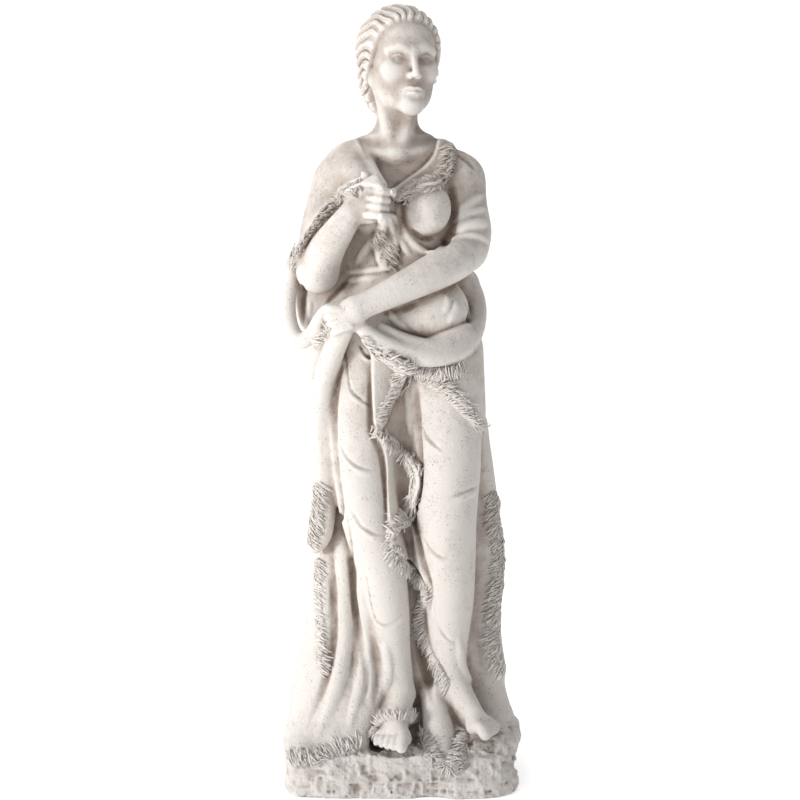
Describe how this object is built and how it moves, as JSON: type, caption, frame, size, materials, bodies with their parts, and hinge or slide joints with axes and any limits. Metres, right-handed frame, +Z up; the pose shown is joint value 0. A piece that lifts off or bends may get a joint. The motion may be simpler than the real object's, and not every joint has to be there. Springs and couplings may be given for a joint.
{
  "type": "seasons maiden statue",
  "caption": "Standing draped maiden in cast stone, one hand at the breast and the other holding the mantle, cast in one with a rough rock block.",
  "frame": {"origin": "the middle of the rectangle that bounds the statue, on the flat underside of the block", "axes": "+Z is up; the statue's front looks along -Y; +X is the figure's own left"},
  "size_m": [0.4856, 0.407, 1.56],
  "materials": {
    "cast_stone": "matt ivory cast stone with a pinkish grey patina in the folds"
  },
  "bodies": {
    "root": {"maiden_statue": "cast_stone"}
  },
  "joints": []
}
